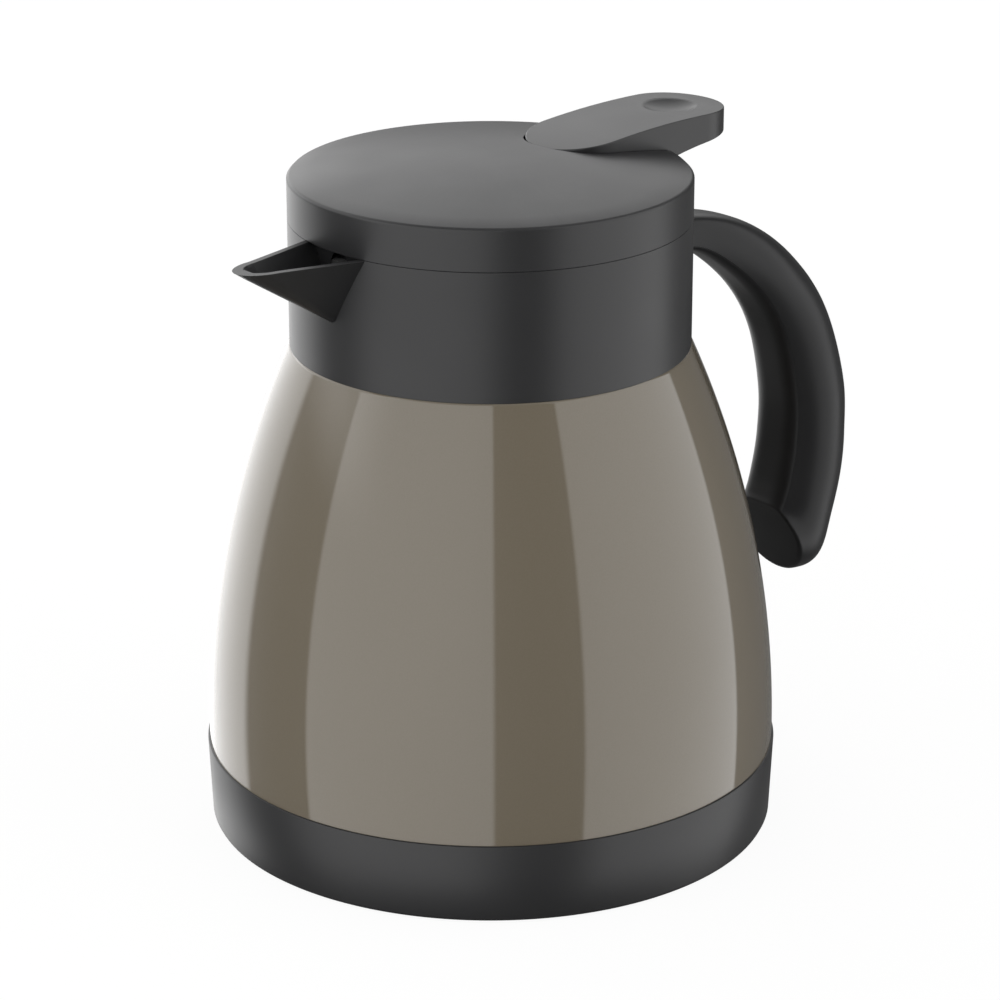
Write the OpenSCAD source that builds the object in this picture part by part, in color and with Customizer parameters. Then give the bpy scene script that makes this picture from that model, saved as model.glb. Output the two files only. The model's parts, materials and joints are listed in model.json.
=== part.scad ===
// Vacuum jug with a screw-in stopper and a thumb lever, in millimetres.
// The origin is the centre of the base on the table, +Z is up,
// the spout points to -X and the handle to +X.

/* [Body] */
// Largest radius of the lacquered shell, where its side is upright
body_r = 69.5; // [64:0.5:76]
// Height at which the side is upright
belly_z = 21; // [20:0.5:30]
// How far the shell's shoulder stands out below the collar
shoulder_lip = 0.1; // [0:0.1:2]
// Height of that shoulder
shoulder_z = 120.5; // [110:0.5:140]
// Thickness of the steel sheet
sheet_t = 0.6; // [0.4:0.1:1]
// Vacuum between the two steel walls
vacuum_gap = 3.9; // [2.5:0.1:5]
// How far the neck's round hole lies inside the collar's bore
neck_step = 7.1; // [6.4:0.1:9]
// Height of the neck above the shoulder
neck_h = 9.5; // [8:0.5:12]
// Height of the underside of the inner flask
flask_floor_z = 13.4; // [12:0.2:18]

/* [Base] */
// How far the base band stands out beyond the steel
band_proud = 0.5; // [0.2:0.1:2]
// Height of the base band
base_h = 20; // [17:0.5:24]
// How much the band narrows towards the table, on the radius
base_draft = 0.8; // [0:0.1:3]
// How far the steel steps in behind the band
band_step = 3.7; // [3:0.1:6]
// Thickness of the base cup's floor
cup_floor_t = 2.4; // [1.6:0.1:3.2]
// Radius of the rubber foot pad
foot_r = 61; // [40:0.5:62]
// Thickness of the rubber foot pad
foot_t = 1.8; // [1.2:0.1:2]
// How far the foot pad stands out below the cup
foot_proud = 0.3; // [0.2:0.1:1]

/* [Collar] */
// Outer radius of the collar and the lid
collar_r = 48; // [46:0.1:50]
// Height of the collar above the shoulder
collar_h = 31.1; // [28:0.1:38]
// Wall of the collar
collar_wall = 2.6; // [2:0.1:3]
// Thickness of the shelf that rests on the neck
shelf_t = 1.8; // [1.4:0.1:2.6]
// Thickness of the gasket under that shelf
gasket_t = 1.2; // [0.8:0.1:2]

/* [Spout] */
// Distance of the spout's tip from the middle of the jug
spout_reach = 75; // [68:0.2:82]
// Depth of the spout where it leaves the collar
spout_depth = 16.8; // [14:0.2:18.4]
// Half width of the spout's rim at the collar's bore
spout_half_w = 11.4; // [9:0.2:12.4]
// Wall of the spout
spout_wall = 1.5; // [1:0.1:1.7]
// Radius of the spout's rounded keel where it leaves the collar
spout_heel_r = 2; // [1.8:0.1:3]
// Angle at which the keel widens towards the tip
spout_taper = 9; // [6:0.5:10]

/* [Screw thread] */
// Number of thread lugs on the stopper
lug_count = 4; // [4:1:4]
// Rise of the lid in one turn
thread_lead = 24; // [16:1:30]
// Angle that one lug covers
lug_span = 24; // [14:1:30]
// Height of a lug
lug_t = 2.2; // [1.6:0.1:2.4]
// Overlap of the lugs in the collar and those on the stopper
lug_bite = 1.7; // [1:0.1:1.9]

/* [Lid] */
// Height of the lid's side above the seam
skirt_h = 9.8; // [8.5:0.1:14]
// Rise of the dome above the lid's edge
dome_h = 4.3; // [3.4:0.1:7]
// Wall of the lid
lid_wall = 2; // [1.5:0.1:2.4]
// Chamfer round the lid's edge
edge_c = 0.8; // [0.4:0.1:1.2]
// Gap between the lid and the collar
seam_gap = 0.3; // [0.2:0.05:0.4]

/* [Stopper] */
// Gap between the plug and the neck, which its seal bridges
plug_gap = 1.7; // [1.5:0.1:3]
// Wall of the stopper
stopper_wall = 1.8; // [1.4:0.1:2.2]
// Depth of the stopper's floor below the top of the neck
plug_depth = 12; // [11:0.5:14]
// Height of the pouring windows
window_h = 5.8; // [4:0.1:6]
// Angle that one window covers
window_span = 44; // [20:1:48]
// How far the screws stand inside the plug's side
screw_inset = 5.6; // [4.6:0.1:8]
// Radius of the stopper's screws
screw_r = 1.5; // [1.2:0.1:1.8]

/* [Valve] */
// Radius of the hole that the valve closes
valve_hole_r = 10; // [7:0.5:12]
// Radius of the valve's stem
stem_r = 2; // [1.6:0.1:2.6]
// Middle radius of the valve's spring
spring_r = 5; // [4.4:0.1:7]
// Wire of the valve's spring
spring_wire = 0.8; // [0.6:0.1:1]
// Number of turns of the spring
spring_turns = 5; // [4:1:6]

/* [Lever] */
// Width of the lever
lever_w = 25.7; // [20:0.1:28]
// Distance of the lever's tip from the middle of the jug
lever_tip_x = 70.8; // [64:0.2:76]
// Distance of the lever's front end from the middle of the jug
lever_front_x = 15; // [12:0.5:16.5]
// Height of the lever's highest line above the seam
lever_crest_h = 16.9; // [16.6:0.1:19]
// Thickness of the lever at its tip
lever_tip_t = 5.8; // [4.5:0.1:6]
// Radius of the arc of the lever's top
lever_top_arc_r = 250; // [200:5:400]
// Radius of the arc of the lever's underside
lever_under_arc_r = 112; // [100:1:140]
// Distance of the lever's pin from the middle of the jug
pin_x = 24; // [22:0.5:26]
// Height of the lever's pin above the seam
pin_h = 8.4; // [8.2:0.1:9]
// Radius of the lever's pin
pin_r = 1.5; // [1:0.1:2]
// Angle through which the lever is pressed
press_angle = 7; // [4:0.5:8]
// Radius of the thumb dimple
dimple_r = 7.2; // [5:0.1:9]
// Depth of the thumb dimple
dimple_depth = 1.6; // [0.8:0.1:2.4]

/* [Handle] */
// Reach of the handle's inner face beyond the collar
handle_reach = 47.7; // [40:0.5:56]
// Drop of the handle's inner face from its root to its end
handle_drop = 76.4; // [66:0.5:84]
// Depth of the handle's root below the seam
handle_root_depth = 18.8; // [17:0.2:19]
// Depth of the handle where it is deepest
handle_depth = 27; // [24:0.5:30]
// Width of the handle where it is widest
handle_w = 23.8; // [22:0.2:27]
// Width of the flat inner face
handle_face_w = 12.5; // [9:0.5:13]
// Wall of the hollow handle
handle_wall = 2; // [1.6:0.1:2.6]
// Thickness of the inner cover
cover_t = 1.6; // [1.2:0.1:2.2]
// Radius of the handle's screws
handle_screw_r = 1.4; // [1:0.1:1.6]
// Half the distance between the handle's screws
handle_screw_y = 3.1; // [2.9:0.1:3.2]

/* [Hidden] */

// Facets of the round shapes
$fn = 120;
// A little more than nothing, for cuts that pass through a face
eps = 0.5;
// Gap between two pieces that are fixed to each other
fit_gap = 0.1;
// Gap between two pieces that move past each other
move_gap = 0.3;
// Radial gap of a shaft that turns or slides in its hole
run_gap = 0.06;

// Radii that follow the collar
collar_bore_r = collar_r - collar_wall;
neck_bore_r = collar_bore_r - neck_step;
shoulder_r = collar_r + shoulder_lip;
plug_r = neck_bore_r - plug_gap;
screw_circle_r = plug_r - screw_inset;

// Heights and radii of the steel walls
side_drop = body_r - shoulder_r;
side_rise = shoulder_z - belly_z;
side_arc_r = (side_rise * side_rise + side_drop * side_drop) / (2 * side_drop);
flask_inset = sheet_t + vacuum_gap;
flask_ledge_z = shoulder_z - sheet_t - vacuum_gap - sheet_t;
neck_top_z = shoulder_z + neck_h;
flask_neck_r = neck_bore_r + sheet_t;
neck_fold = 3.1;
shell_neck_r = neck_bore_r + neck_fold;
base_r = body_r + band_proud;
skirt_r = body_r - band_step;
skirt_bottom_z = 6;
bottom_lip = 1.5;
bottom_z = skirt_bottom_z + bottom_lip;
base_edge_c = 1;
band_edge_c = 0.4;
ledge_w = 3;
seal_hole_r = 2.3;
seal_plate_w = 2.5;
seal_plate_t = 1;
getter_r = 6;
getter_t = 2.4;
flask_edge_c = 10;

// Heights of the collar, the lid and the lever
shelf_z = neck_top_z + sheet_t + gasket_t;
shelf_top_z = shelf_z + shelf_t;
seam_z = shoulder_z + collar_h;
lid_bottom_z = seam_z + seam_gap / 2;
collar_top_z = seam_z - seam_gap / 2;
lid_edge_z = seam_z + skirt_h;
dome_r = collar_r - edge_c;
dome_base_z = lid_edge_z + edge_c / 2;
dome_arc_r = (dome_r * dome_r + dome_h * dome_h) / (2 * dome_h);
dome_top_z = dome_base_z + dome_h;

// Stopper and thread
collar_rib_t = 2;
lug_clear = 1;
lug_tip_r = collar_bore_r - 1.2 * lug_clear;
collar_lug_r = lug_tip_r - lug_bite;
stopper_r = collar_lug_r - lug_clear;
stopper_floor_z = neck_top_z - plug_depth;
floor_t = 2.5;
flange_z = shelf_top_z + move_gap;
window_z = flange_z + stopper_wall;
deck_sink = 5.6;
deck_top_z = seam_z - deck_sink;
deck_t = 2;
deck_rim_t = 0.8;
lug_sink = 5;
lug_z = deck_top_z - lug_sink;
screw_boss_w = 3;
screw_boss_h = 2.6;
screw_sink = 2;
screw_head_w = 1.3;
screw_head_h = 1.7;
screw_cross_w = 0.8;
screw_l = 13;
post_wall = 2;
post_depth = 9;
lug_slope = atan(thread_lead / (2 * PI * (lug_tip_r - lug_bite / 2)));
seal_groove_rise = 6;
seal_groove_z = stopper_floor_z + seal_groove_rise;
seal_h = 4;
seal_depth = 1.3;
seal_waist_r = 0.9;
lid_seal_gap = 1.2;
lid_seal_t = 2.4;

// Valve
seat_gap = 0.2;
seal_ring_t = 1.7;
seal_ring_w = 1.3;
seal_ring_over = 0.5;
valve_over = 2.6;
valve_r = valve_hole_r + valve_over;
plate_t = 1.8;
spring_seat_h = 4.2;
stem_sink = 0.9;
press_gap = 0.02;
valve_z = stopper_floor_z + floor_t + seat_gap;
spring_end_z = deck_top_z - deck_t;
guide_h = 5;
stem_top_h = 8.2;
stem_top_z = seam_z + stem_top_h;
stem_cap_t = 1.8;
stem_cap_roof = 0.5;
stem_cap_z = stem_top_z - stem_cap_t;
stem_cap_r = 5;
stem_seal_t = 1.4;
stem_seal_w = 2.4;
stem_seal_r = stem_r + stem_seal_w;
hub_wall = 2;

// Lever
pin_z = seam_z + pin_h;
lever_crest_z = seam_z + lever_crest_h;
lever_crest_x = 55;
lever_under_x = 71.5;
lever_under_z = lever_crest_z - lever_tip_t - 0.4;
slot_gap = 0.45;
spigot_t = 2.6;
spigot_step = 1;
arm_gap = 1.5;
fork_gap = 0.5;
slot_half_w = lever_w / 2 + slot_gap;
boss_r = 3.4;
slot_floor_z = pin_z - boss_r - slot_gap;
slot_floor_t = 1.8;
ear_t = 2.2;
pin_half_l = slot_half_w + ear_t - move_gap;
arm_w = 10;
well_w = arm_w + 1.4 * arm_gap;
arm_swing = 3.4;
well_top_z = stem_cap_z + arm_swing;
knuckle_r = 1.5;
knuckle_z = stem_cap_z - move_gap - knuckle_r;

// Handle, each row being one cross-section: share of the reach, share of the
// drop, direction of its depth in degrees, share of the depth, share of the
// width, boxiness
handle_root_z = seam_z - handle_root_depth;
handle_rows = [
    [0.000, 0.000, 90, 0.319, 0.555, 4.0],
    [0.295, 0.018, 75, 0.339, 0.555, 4.0],
    [0.544, 0.110, 52, 0.488, 0.639, 2.7],
    [0.767, 0.242, 39, 0.602, 0.756, 1.9],
    [0.919, 0.402, 22, 0.707, 0.840, 1.9],
    [1.001, 0.613, 5, 0.795, 0.908, 1.9],
    [1.002, 0.770, -4, 0.823, 0.941, 1.9],
    [0.968, 0.897, -35, 0.888, 0.975, 1.9],
    [0.936, 0.964, -53, 0.976, 0.990, 1.9],
    [0.916, 0.994, -71, 0.777, 0.984, 2.0]
];
// Share of a section's depth at which it is widest
widest = 0.45;
// Rings along the handle, and points from its inner edge to its crest
handle_rings = 34;
flank_points = 3;
crown_points = 7;
// Where the hollow of the handle starts, and where its end plate sits
hollow_start = 0.17;
plate_start = 0.965;
rim_t = 1.1;
handle_screw_z = handle_root_z + handle_rows[0][3] * handle_depth / 2;
handle_screw_l = 13;
handle_head_r = handle_screw_r + 1.1;
handle_head_h = 1.5;

// Colours
plastic = [0.23, 0.23, 0.235];
lacquer = [0.50, 0.46, 0.41];
steel = [0.78, 0.78, 0.77];
silicone = [0.86, 0.85, 0.82];
rubber = [0.12, 0.12, 0.12];

// Outline of the jug's side, moved inwards, between two heights
module side_outline(inset, low, high) {
    intersection() {
        translate([body_r - side_arc_r, belly_z])
            circle(r = side_arc_r - inset, $fn = 720);
        translate([0, low])
            square([body_r + 1, high - low]);
    }
}

// The same outline with its lower edge cut off at 45 degrees
module flask_outline(inset, low, high, edge) {
    rim = body_r - inset;
    intersection() {
        side_outline(inset, low, high);
        polygon([[0, low], [rim - edge, low], [rim + 1, low + edge + 1], [rim + 1, high], [0, high]]);
    }
}

// Ring with a rectangular section
module ring(inner, outer, low, high) {
    rotate_extrude()
        translate([inner, low])
            square([outer - inner, high - low]);
}

// Pie piece between two radii, centred on an angle
module sector(inner, outer, low, high, middle, span) {
    rotate([0, 0, middle - span / 2])
        rotate_extrude(angle = span)
            translate([inner, low])
                square([outer - inner, high - low]);
}

module outer_shell() {
    color(lacquer)
    rotate_extrude() {
        difference() {
            side_outline(0, base_h, shoulder_z);
            side_outline(sheet_t, base_h + sheet_t, shoulder_z - sheet_t);
            translate([-1, base_h - eps])
                square([skirt_r - sheet_t + 1, eps + sheet_t]);
            translate([-1, shoulder_z - sheet_t - eps])
                square([shell_neck_r - sheet_t + 1, 2 * eps + sheet_t]);
        }
        translate([skirt_r - sheet_t, skirt_bottom_z])
            square([sheet_t, base_h + sheet_t - skirt_bottom_z]);
        translate([shell_neck_r - sheet_t, shoulder_z - sheet_t])
            square([sheet_t, neck_top_z - shoulder_z + sheet_t]);
    }
}

module inner_flask() {
    color(steel)
    rotate_extrude() {
        difference() {
            flask_outline(flask_inset, flask_floor_z, flask_ledge_z + sheet_t, flask_edge_c);
            flask_outline(flask_inset + sheet_t, flask_floor_z + sheet_t, flask_ledge_z,
                flask_edge_c - (2 - sqrt(2)) * sheet_t);
            translate([-1, flask_ledge_z - eps])
                square([neck_bore_r + 1, 2 * eps + sheet_t]);
        }
        translate([neck_bore_r, flask_ledge_z])
            square([sheet_t, neck_top_z + sheet_t - flask_ledge_z]);
        translate([neck_bore_r, neck_top_z])
            square([shell_neck_r - neck_bore_r, sheet_t]);
    }
}

module outer_bottom() {
    rim_r = skirt_r - sheet_t - fit_gap / 2;
    color(steel)
    difference() {
        union() {
            ring(0, rim_r, bottom_z, bottom_z + sheet_t);
            ring(rim_r - sheet_t, rim_r, skirt_bottom_z, bottom_z + sheet_t);
        }
        translate([0, 0, bottom_z - eps])
            cylinder(r = seal_hole_r, h = sheet_t + 2 * eps);
    }
}

module vacuum_seal() {
    color(steel)
    union() {
        translate([0, 0, bottom_z - seal_plate_t])
            cylinder(r = seal_hole_r + seal_plate_w, h = seal_plate_t);
        translate([0, 0, bottom_z - seal_plate_t])
            cylinder(r = seal_hole_r - fit_gap, h = seal_plate_t + sheet_t);
    }
}

module getter() {
    color(steel)
    translate([skirt_r / 2, 0, bottom_z + sheet_t])
        cylinder(r = getter_r, h = getter_t);
}

module base_cup() {
    bore_r = skirt_r + 2 * fit_gap;
    foot_edge = [base_r - base_draft, foot_proud];
    color(plastic)
    rotate_extrude()
        difference() {
            polygon([[0, foot_edge[1]], [foot_edge[0] - base_edge_c, foot_edge[1]],
                [foot_edge[0], foot_edge[1] + base_edge_c], [base_r, base_h - band_edge_c],
                [base_r - band_edge_c, base_h], [0, base_h]]);
            translate([-1, foot_t + cup_floor_t])
                square([skirt_r - ledge_w + 1, base_h]);
            translate([-1, skirt_bottom_z])
                square([bore_r + 1, base_h]);
            translate([-1, -eps])
                square([foot_r + fit_gap + 1, foot_t + eps]);
        }
}

module foot_pad() {
    color(rubber)
    cylinder(r = foot_r, h = foot_t);
}

module neck_gasket() {
    color(silicone)
    ring(flask_neck_r + 3 * fit_gap, shell_neck_r - 2 * fit_gap, neck_top_z + sheet_t, shelf_z);
}

// Thread lug between two radii with its upper or lower face at z, sloped along the thread
module lug(inner, outer, low, middle) {
    rotate([0, 0, middle])
        intersection() {
            sector(inner, outer, low - 2 * lug_t, low + 3 * lug_t, 0, lug_span);
            translate([(inner + outer) / 2, 0, low + lug_t / 2])
                rotate([lug_slope, 0, 0])
                    cube([outer, outer, lug_t], center = true);
        }
}

// Spout as a round keel that narrows towards the collar, with two flat sides,
// pointing to +X. Its lowest line falls from the tip, at height top, by depth
// at the collar. Above 1, stretch carries it on over its rim.
module spout_form(tip, top, depth, half_w, heel_r, stretch) {
    run = tip - collar_r;
    dip = atan(depth / run);
    lean = dip + spout_taper;
    // The keel is a cone whose point lies on its lowest line, inside the jug
    back = heel_r / sin(spout_taper);
    point_x = collar_r - back * cos(dip);
    point_z = top - depth - back * sin(dip);
    // The rim's corner at the bore, along and across the cone's axis
    dx = collar_bore_r - point_x;
    dz = top - point_z;
    corner_e = dx * cos(lean) + dz * sin(lean);
    corner_n = dz * cos(lean) - dx * sin(lean);
    // The flat sides touch the cone at the angle beta, and end a little inside
    // it, so that the two solids cross
    beta = atan2(corner_n, half_w)
        - acos(tan(spout_taper) * corner_e / norm([half_w, corner_n]));
    hold = 0.97 * tan(spout_taper);
    side_e = dz / (sin(lean) + hold * sin(beta) * cos(lean));
    side_n = side_e * hold * sin(beta);
    side_y = side_e * hold * cos(beta);
    keel_l = stretch * (back + norm([run, depth])) + eps;
    translate([point_x, 0, point_z])
        rotate([0, 90 - lean, 0]) {
            cylinder(r1 = 0, r2 = keel_l * sin(spout_taper), h = keel_l * cos(spout_taper), $fn = 96);
            polyhedron(
                points = stretch * [[0, 0, 0], [-corner_n, half_w, corner_e],
                    [-corner_n, -half_w, corner_e], [-side_n, side_y, side_e],
                    [-side_n, -side_y, side_e]],
                faces = [[3, 4, 2, 1], [3, 1, 0], [2, 4, 0], [1, 2, 0], [4, 3, 0]]);
        }
}

// Cut off level with the collar's top and along its bore
module spout_outside() {
    difference() {
        mirror([1, 0, 0])
            spout_form(spout_reach, collar_top_z, spout_depth, spout_half_w, spout_heel_r, 1);
        translate([-collar_bore_r, -collar_r, 0])
            cube([2 * collar_r, 2 * collar_r, 2 * seam_z]);
        translate([-2 * spout_reach, -collar_r, collar_top_z])
            cube([2 * spout_reach, 2 * collar_r, seam_z]);
    }
}

// The same form drawn in by the wall
module spout_channel() {
    slope = norm([spout_reach - collar_r, spout_depth]);
    mirror([1, 0, 0])
        spout_form(spout_reach - spout_wall * slope / spout_depth, collar_top_z,
            spout_depth - spout_wall * slope / (spout_reach - collar_r),
            spout_half_w - 1.1 * spout_wall, spout_heel_r - 0.94 * spout_wall, 1.08);
}

// Holes of the handle's screws through the collar and into the handle
module handle_screw_holes(gap, length, heads) {
    for (y = [-handle_screw_y, handle_screw_y])
        translate([collar_bore_r, y, handle_screw_z])
            rotate([0, 90, 0]) {
                cylinder(r = handle_screw_r + gap, h = length, $fn = 48);
                if (heads)
                    translate([0, 0, -eps])
                        cylinder(r = handle_head_r + gap, h = eps + handle_head_h + gap, $fn = 48);
            }
}

module collar() {
    color(plastic)
    difference() {
        union() {
            ring(collar_bore_r, collar_r, shoulder_z, collar_top_z);
            ring(flask_neck_r, collar_bore_r + eps, shelf_z, shelf_top_z);
            ring(shell_neck_r + fit_gap, shell_neck_r + collar_rib_t, shoulder_z, shelf_z + eps);
            for (i = [0 : lug_count - 1])
                lug(collar_lug_r, collar_bore_r + eps, lug_z + move_gap, 45 + i * 360 / lug_count);
            spout_outside();
        }
        intersection() {
            spout_channel();
            translate([-spout_reach, -collar_r, shelf_top_z])
                cube([spout_reach - collar_lug_r, 2 * collar_r, seam_z]);
        }
        handle_screw_holes(fit_gap, collar_wall + eps, true);
    }
}

// Position along the table of handle sections, smoothly between its rows
function row(i) =
    i < 0 ? 2 * handle_rows[0] - handle_rows[1] :
    i >= len(handle_rows) ? 2 * handle_rows[len(handle_rows) - 1] - handle_rows[len(handle_rows) - 2] :
    handle_rows[i];
function smooth(a, b, c, d, u) =
    0.5 * (2 * b + (c - a) * u + (2 * a - 5 * b + 4 * c - d) * u * u + (3 * b - a - 3 * c + d) * u * u * u);
function section(t) =
    let (s = t * (len(handle_rows) - 1), i = max(0, min(floor(s), len(handle_rows) - 2)))
    smooth(row(i - 1), row(i), row(i + 1), row(i + 2), s - i);

// Half of a section's outline from depth low to its crest, drawn in by inset
function half_outline(s, low, inset) =
    let (
        deep = s[3] * handle_depth - inset,
        wide = s[4] * handle_w / 2 - inset,
        face = handle_face_w / 2 - inset,
        mid = widest * s[3] * handle_depth,
        power = 2 / s[5]
    )
    concat(
        [for (k = [0 : flank_points - 1])
            let (n = low + (mid - low) * k / flank_points)
            [n, face + (wide - face) * sin(90 * n / mid)]],
        [for (k = [0 : crown_points])
            let (a = 90 * k / crown_points)
            [mid + (deep - mid) * pow(sin(a), power), wide * pow(max(0, cos(a)), power)]]
    );

// Both halves, the crest being their common point, placed in space
function handle_ring(t, low, inset) =
    let (
        s = section(t),
        half = half_outline(s, low, inset),
        last = len(half) - 1,
        x = collar_r + s[0] * handle_reach,
        z = handle_root_z - s[1] * handle_drop
    )
    concat(
        [for (k = [0 : last])
            [x + half[k][0] * cos(s[2]), k == last ? 0 : half[k][1], z + half[k][0] * sin(s[2])]],
        [for (k = [last - 1 : -1 : 0])
            [x + half[k][0] * cos(s[2]), -half[k][1], z + half[k][0] * sin(s[2])]]
    );

// Closed solid through the rings between two places along the handle
module handle_loft(from, to, rings, low, inset) {
    n = 2 * (flank_points + crown_points) + 1;
    points = [for (i = [0 : rings])
        each handle_ring(from + (to - from) * i / rings, low, inset)];
    polyhedron(
        points = points,
        faces = concat(
            [[for (k = [0 : n - 1]) k]],
            [[for (k = [n - 1 : -1 : 0]) rings * n + k]],
            [for (i = [0 : rings - 1], k = [0 : n - 1])
                [i * n + k, (i + 1) * n + k, i * n + (k + 1) % n]],
            [for (i = [0 : rings - 1], k = [0 : n - 1])
                [i * n + (k + 1) % n, (i + 1) * n + k, (i + 1) * n + (k + 1) % n]]
        ));
}

module handle_shell() {
    color(plastic)
    difference() {
        handle_loft(-0.01, 1, handle_rings, cover_t, 0);
        translate([0, 0, handle_root_z - handle_drop])
            cylinder(r = collar_r, h = 2 * handle_drop);
        handle_loft(hollow_start, 1.03, handle_rings - 6, cover_t - eps, handle_wall);
        handle_loft(plate_start - 0.02, 1.02, 3, cover_t - eps, rim_t);
        handle_screw_holes(0, handle_screw_l, false);
    }
}

module handle_cover() {
    color(plastic)
    difference() {
        union() {
            difference() {
                handle_loft(-0.01, 1, handle_rings, 0, 0);
                handle_loft(-0.03, 1.03, handle_rings + 2, cover_t - fit_gap, -handle_wall);
            }
            handle_loft(hollow_start + 0.02, plate_start, 20, cover_t - eps, handle_wall + 2 * fit_gap);
        }
        handle_loft(hollow_start + 0.04, plate_start - 0.02, 20, 1.75 * cover_t, -handle_wall);
        translate([0, 0, handle_root_z - handle_drop])
            cylinder(r = collar_r + fit_gap, h = 2 * handle_drop);
    }
}

module handle_screws() {
    color(steel)
    for (y = [-handle_screw_y, handle_screw_y])
        translate([collar_bore_r + fit_gap, y, handle_screw_z])
            rotate([0, 90, 0]) {
                cylinder(r = handle_screw_r, h = handle_screw_l - eps, $fn = 48);
                cylinder(r = handle_head_r, h = handle_head_h, $fn = 48);
            }
}

module stopper_seal() {
    color(silicone)
    rotate_extrude()
        difference() {
            translate([plug_r - seal_depth + fit_gap, seal_groove_z + fit_gap])
                square([neck_bore_r - move_gap - plug_r + seal_depth - fit_gap, seal_h - 2 * fit_gap]);
            // Two waists between the three lips
            for (k = [1, 2])
                translate([neck_bore_r - move_gap + seal_waist_r / 2, seal_groove_z + k * seal_h / 3])
                    circle(r = seal_waist_r, $fn = 32);
        }
}

module stopper() {
    hub_r = stem_seal_r + hub_wall;
    color(plastic)
    difference() {
        union() {
            // Plug, flange, windowed wall and deck
            ring(plug_r - stopper_wall - seal_depth, plug_r, stopper_floor_z, window_z);
            ring(0, plug_r, stopper_floor_z, stopper_floor_z + floor_t);
            ring(plug_r - stopper_wall - seal_depth, stopper_r, flange_z, window_z);
            ring(stopper_r - stopper_wall, stopper_r, flange_z, deck_top_z);
            ring(0, stopper_r, deck_top_z - deck_t, deck_top_z);
            ring(stopper_r - eps, lug_tip_r, deck_top_z - deck_rim_t, deck_top_z);
            translate([0, 0, deck_top_z - deck_t])
                cylinder(r = hub_r, h = guide_h + deck_t);
            for (a = [90 : 90 : 270])
                rotate([0, 0, a])
                    translate([screw_circle_r, 0, deck_top_z - deck_t - screw_boss_h])
                        cylinder(r = screw_r + screw_boss_w, h = screw_boss_h + eps, $fn = 48);
            for (i = [0 : lug_count - 1])
                lug(stopper_r - eps, lug_tip_r, lug_z - lug_t, 45 + i * 360 / lug_count);
        }
        // Groove of the neck seal
        ring(plug_r - seal_depth, plug_r + eps, seal_groove_z, seal_groove_z + seal_h);
        // Pouring windows
        for (i = [0 : 3])
            sector(stopper_r - stopper_wall - eps, stopper_r + eps, window_z, window_z + window_h,
                90 * i, window_span);
        // Valve hole, stem hole with its seal's pocket
        translate([0, 0, stopper_floor_z - eps])
            cylinder(r = valve_hole_r, h = floor_t + 2 * eps);
        translate([0, 0, deck_top_z - deck_t - eps])
            cylinder(r = stem_r + run_gap, h = guide_h + deck_t + 2 * eps, $fn = 64);
        translate([0, 0, deck_top_z + guide_h - stem_seal_t])
            cylinder(r = stem_seal_r + fit_gap, h = stem_seal_t + eps, $fn = 64);
        // Screw holes with sunk heads
        for (a = [90 : 90 : 270])
            rotate([0, 0, a])
                translate([screw_circle_r, 0, deck_top_z - deck_t - screw_boss_h - eps]) {
                    cylinder(r = screw_r + 2 * fit_gap, h = screw_boss_h + deck_t + 2 * eps, $fn = 48);
                    cylinder(r = screw_r + screw_head_w + 2 * fit_gap, h = screw_sink + eps, $fn = 48);
                }
    }
}

module stopper_screws() {
    head_z = deck_top_z - deck_t - screw_boss_h + screw_sink - screw_head_h;
    color(steel)
    for (a = [90 : 90 : 270])
        rotate([0, 0, a])
            translate([screw_circle_r, 0, head_z]) {
                cylinder(r = screw_r, h = screw_l, $fn = 48);
                difference() {
                    cylinder(r = screw_r + screw_head_w, h = screw_head_h, $fn = 48);
                    for (b = [0, 90])
                        rotate([0, 0, b])
                            translate([-2 * screw_cross_w, -screw_cross_w / 2, -eps])
                                cube([4 * screw_cross_w, screw_cross_w, screw_cross_w + eps]);
                }
            }
}

module stem_seal() {
    color(silicone)
    ring(stem_r + 2 * run_gap, stem_seal_r, deck_top_z + guide_h - stem_seal_t,
        deck_top_z + guide_h - fit_gap);
}

module lid_seal() {
    color(rubber)
    ring(stopper_r + lid_seal_gap, collar_bore_r - move_gap, deck_top_z, deck_top_z + lid_seal_t);
}

// Solid of the lid's outside, from its skirt to its dome
module lid_solid(inset) {
    rotate_extrude() {
        translate([0, lid_bottom_z - (inset > 0 ? eps : 0)])
            square([collar_r - inset, lid_edge_z - edge_c / 2 - lid_bottom_z + (inset > 0 ? eps - inset / 2 : 0)]);
        if (inset == 0)
            polygon([[0, lid_edge_z - edge_c / 2 - 0.1], [collar_r, lid_edge_z - edge_c / 2 - 0.1],
                [collar_r, lid_edge_z - edge_c / 2], [dome_r, dome_base_z], [0, dome_base_z]]);
        intersection() {
            translate([0, dome_top_z - dome_arc_r])
                circle(r = dome_arc_r - inset, $fn = 720);
            translate([0, lid_bottom_z])
                square([dome_r - (inset > 0 ? inset - edge_c : 0), seam_z]);
        }
    }
}

// Plan of the lever, grown by gap, with round ends
module lever_plan(gap, front, tip) {
    half = lever_w / 2;
    union() {
        translate([front + half, 0])
            circle(r = half + gap);
        translate([front + half, -half - gap])
            square([tip - front - 2 * half, 2 * half + 2 * gap]);
        translate([tip - half, 0])
            circle(r = half + gap);
    }
}

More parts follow.
